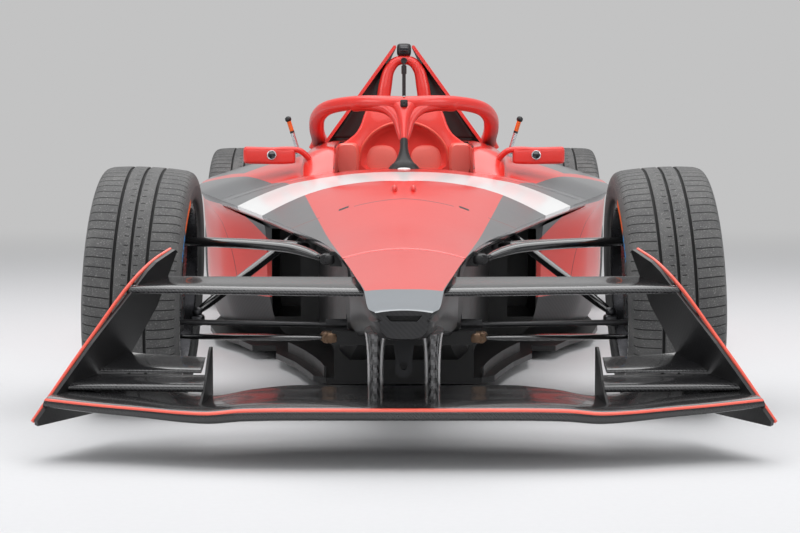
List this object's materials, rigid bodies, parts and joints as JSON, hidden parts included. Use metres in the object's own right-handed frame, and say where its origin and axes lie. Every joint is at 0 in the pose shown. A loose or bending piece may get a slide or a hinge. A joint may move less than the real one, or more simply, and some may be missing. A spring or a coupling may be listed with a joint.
{
  "type": "open wheel racing car",
  "caption": "Full-size single-seat racing car with open wheels, wide front wing, halo hoop, twin fins behind the seat, side pods, steerable front wheels and spinning wheels.",
  "frame": {"origin": "on the ground under the centre of the car's overall length and width", "axes": "nose towards -Y, up +Z, the car's left hand side towards +X"},
  "size_m": [1.7, 5.016, 1.0779],
  "materials": {
    "red_paint": "gloss",
    "carbon": "gloss",
    "grey_paint": "satin",
    "tyre": "matte",
    "rim": "satin",
    "steel": "satin",
    "aluminium": "satin",
    "black_plastic": "matte",
    "red_lens": "gloss"
  },
  "bodies": {
    "chassis": {"nose_cone": "red_paint", "survival_cell": "red_paint", "side_pod_left": "red_paint", "side_pod_right": "red_paint", "battery_block": "grey_paint", "drive_unit": "aluminium", "rear_cover": "red_paint", "front_upper_arms": "carbon", "front_lower_arms": "carbon", "front_pushrods": "carbon", "rear_arms": "carbon", "rear_hubs": "aluminium", "front_wing_main": "carbon", "front_wing_upper": "carbon", "wing_flaps": "carbon", "front_endplates": "carbon", "halo": "red_paint", "headrest": "red_paint", "roll_hoop": "red_paint", "hoop_fins": "red_paint", "apex_pod": "black_plastic", "seat": "black_plastic", "floor": "carbon", "diffuser": "carbon", "crash_structure": "carbon", "rain_light": "red_lens", "rear_endplates": "carbon", "rear_wing": "carbon", "mirrors": "red_paint", "aerial_rods": "aluminium", "tow_eye": "steel"},
    "upright_left": {"upright_front_left": "aluminium"},
    "upright_right": {"upright_front_right": "aluminium"},
    "wheel_front_left": {"rim_front_left": "rim", "tyre_front_left": "tyre"},
    "wheel_front_right": {"rim_front_right": "rim", "tyre_front_right": "tyre"},
    "wheel_rear_left": {"rim_rear_left": "rim", "tyre_rear_left": "tyre", "half_shaft_left": "steel"},
    "wheel_rear_right": {"rim_rear_right": "rim", "tyre_rear_right": "tyre", "half_shaft_right": "steel"},
    "rack": {"steering_rack": "steel"},
    "steering_wheel": {"steering_wheel": "black_plastic"}
  },
  "joints": [
    {"name": "steer_left", "type": "hinge", "parent": "chassis", "child": "upright_left", "pos_m": [0.62714, -1.523, 0.32474], "axis": [-0.0523, 0, 0.9986], "range_deg": [-20, 20]},
    {"name": "steer_right", "type": "hinge", "parent": "chassis", "child": "upright_right", "pos_m": [-0.62714, -1.523, 0.32474], "axis": [0.0523, 0, 0.9986], "range_deg": [-20, 20]},
    {"name": "spin_front_left", "type": "hinge", "parent": "upright_left", "child": "wheel_front_left", "pos_m": [0.70703, -1.523, 0.32892], "axis": [0.9986, 0, 0.0523], "continuous": true},
    {"name": "spin_front_right", "type": "hinge", "parent": "upright_right", "child": "wheel_front_right", "pos_m": [-0.70703, -1.523, 0.32892], "axis": [-0.9986, 0, 0.0523], "continuous": true},
    {"name": "spin_rear_left", "type": "hinge", "parent": "chassis", "child": "wheel_rear_left", "pos_m": [0.68933, 1.447, 0.34272], "axis": [0.9997, 0, 0.0262], "continuous": true},
    {"name": "spin_rear_right", "type": "hinge", "parent": "chassis", "child": "wheel_rear_right", "pos_m": [-0.68933, 1.447, 0.34272], "axis": [-0.9997, 0, 0.0262], "continuous": true},
    {"name": "rack_slide", "type": "slide", "parent": "chassis", "child": "rack", "axis": [1, 0, 0], "range_m": [-0.036, 0.036]},
    {"name": "wheel_turn", "type": "hinge", "parent": "chassis", "child": "steering_wheel", "pos_m": [0, -0.223, 0.59], "axis": [0, 0.9613, 0.2756], "range_deg": [-180, 180]}
  ],
  "couplings": [
    {"joint": "steer_right", "follows": "steer_left", "ratio": 1},
    {"joint": "rack_slide", "follows": "steer_left", "m_per_rad": 0.10288},
    {"joint": "wheel_turn", "follows": "steer_left", "ratio": 8.95}
  ]
}
